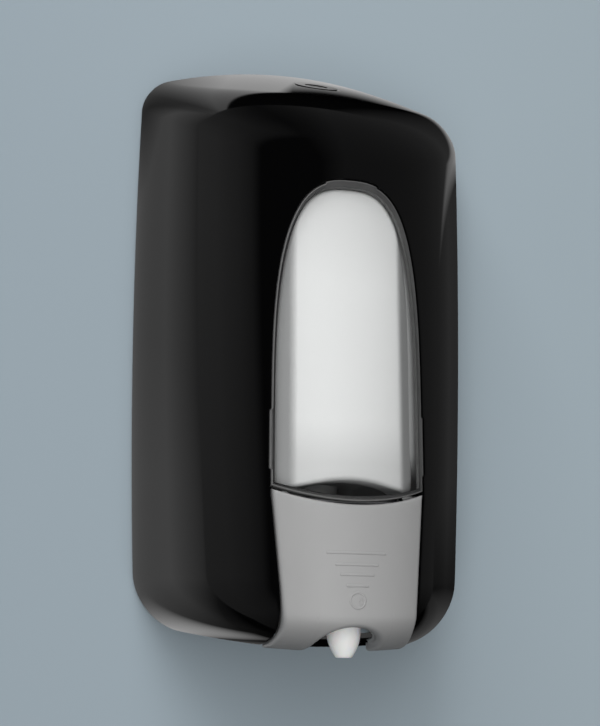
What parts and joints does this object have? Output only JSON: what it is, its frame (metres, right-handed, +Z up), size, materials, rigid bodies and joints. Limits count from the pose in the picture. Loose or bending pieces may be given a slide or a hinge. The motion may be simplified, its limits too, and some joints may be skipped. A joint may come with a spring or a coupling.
{
  "type": "wall mounted soap dispenser",
  "caption": "Wall mounted push dispenser for liquid soap: hinged gloss cover with an arched window, push lever, refillable tank and piston pump.",
  "frame": {"origin": "middle of the back plate's wall face", "axes": "+X to the right seen from the front, +Y into the wall, +Z up; the front faces -Y"},
  "size_m": [0.1138, 0.0808, 0.2094],
  "materials": {
    "plate": "fine matt ABS",
    "cover_black": "polished gloss ABS",
    "window_clear": "clear polished polycarbonate",
    "lever_grey": "satin ABS",
    "steel": "drawn steel",
    "tank_translucent": "frosted translucent polyethylene",
    "dark_plastic": "fine matt polypropylene",
    "silicone": "milky silicone",
    "pump_white": "natural polypropylene",
    "gasket_rubber": "soft black rubber",
    "spout_white": "smooth white polypropylene",
    "lock_metal": "satin nickel plate"
  },
  "bodies": {
    "base": {"back_plate": "plate", "tank": "tank_translucent", "pump_body": "dark_plastic", "pump_nut": "dark_plastic", "neck_gasket": "gasket_rubber", "inlet_valve": "silicone", "return_spring": "steel", "gland_cap": "dark_plastic", "catch_plate": "steel", "catch_screws": "steel", "tank_clip": "plate", "hinge_pins": "steel"},
    "cover": {"cover": "cover_black", "window": "window_clear", "lever_axle": "steel", "lock_housing": "lock_metal", "lock_nut": "lock_metal"},
    "lever": {"lever": "lever_grey"},
    "plunger": {"plunger": "pump_white", "piston_seal": "gasket_rubber", "outlet_valve": "silicone", "spout": "spout_white"},
    "lock": {"lock_cylinder": "lock_metal", "lock_cam": "steel"},
    "lid": {"tank_lid": "dark_plastic", "lid_seal": "silicone"}
  },
  "joints": [
    {"name": "cover_hinge", "type": "hinge", "parent": "base", "child": "cover", "pos_m": [0, -0.0105, -0.093], "axis": [1, 0, 0], "range_deg": [0, 85]},
    {"name": "lever_press", "type": "hinge", "parent": "cover", "child": "lever", "pos_m": [0, -0.0653, -0.0615], "axis": [1, 0, 0], "range_deg": [0, 16], "stiffness_Nm_per_rad": 0.25, "springref_deg": -4.3},
    {"name": "plunger_slide", "type": "slide", "parent": "base", "child": "plunger", "axis": [0, 1, 0], "range_m": [0, 0.0075], "deforming": ["return_spring"]},
    {"name": "lock_turn", "type": "hinge", "parent": "cover", "child": "lock", "pos_m": [0, -0.028, 0.08812], "axis": [0, -0.4801, 0.8772], "range_deg": [0, 90]},
    {"name": "lid_lift", "type": "slide", "parent": "base", "child": "lid", "axis": [0, 0, 1], "range_m": [0, 0.008]}
  ],
  "couplings": [
    {"joint": "plunger_slide", "follows": "lever_press", "m_per_rad": 0.0265}
  ]
}
